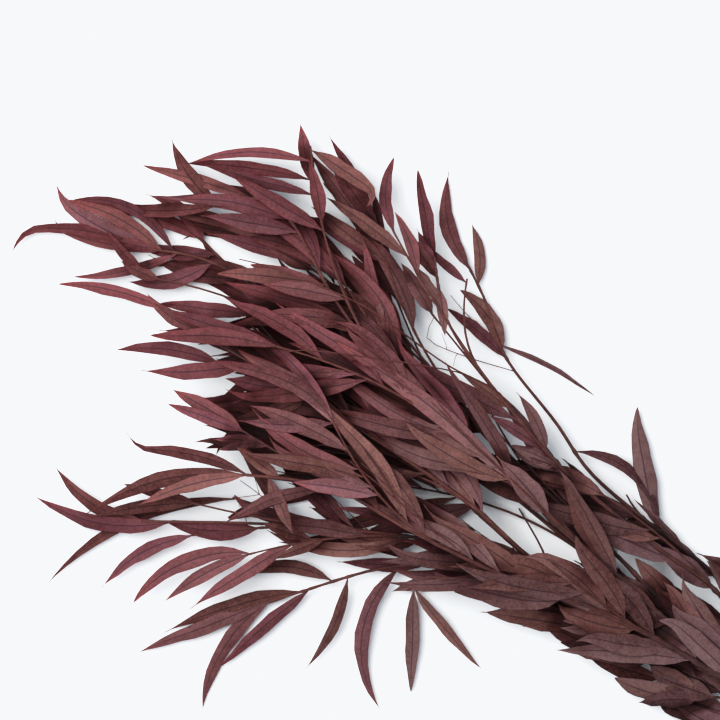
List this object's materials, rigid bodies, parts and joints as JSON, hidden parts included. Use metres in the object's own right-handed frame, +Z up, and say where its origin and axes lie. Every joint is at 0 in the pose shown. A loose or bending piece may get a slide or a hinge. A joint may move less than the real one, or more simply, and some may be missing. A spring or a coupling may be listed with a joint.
{
  "type": "bunch of dried eucalyptus",
  "caption": "Tied bunch of dried, wine-red willow eucalyptus lying on a surface, with long narrow sickle-shaped leaves on branching woody stems.",
  "frame": {"origin": "middle of the bunch's footprint, at the height of the surface it lies on", "axes": "+X from the cut stem ends to the leaf tips, +Z up from the surface"},
  "size_m": [0.8104, 0.4508, 0.0903],
  "materials": {
    "dyed_eucalyptus": "dry, matt to softly satin leaf and bark, dyed wine red",
    "natural_twine": "rough undyed plant fibre"
  },
  "bodies": {
    "root": {"leafy_stem_1": "dyed_eucalyptus", "leafy_stem_2": "dyed_eucalyptus", "leafy_stem_3": "dyed_eucalyptus", "leafy_stem_4": "dyed_eucalyptus", "leafy_stem_5": "dyed_eucalyptus", "leafy_stem_6": "dyed_eucalyptus", "leafy_stem_7": "dyed_eucalyptus", "leafy_stem_8": "dyed_eucalyptus", "leafy_stem_9": "dyed_eucalyptus", "leafy_stem_10": "dyed_eucalyptus", "leafy_stem_11": "dyed_eucalyptus", "twine_tie": "natural_twine"}
  },
  "joints": []
}
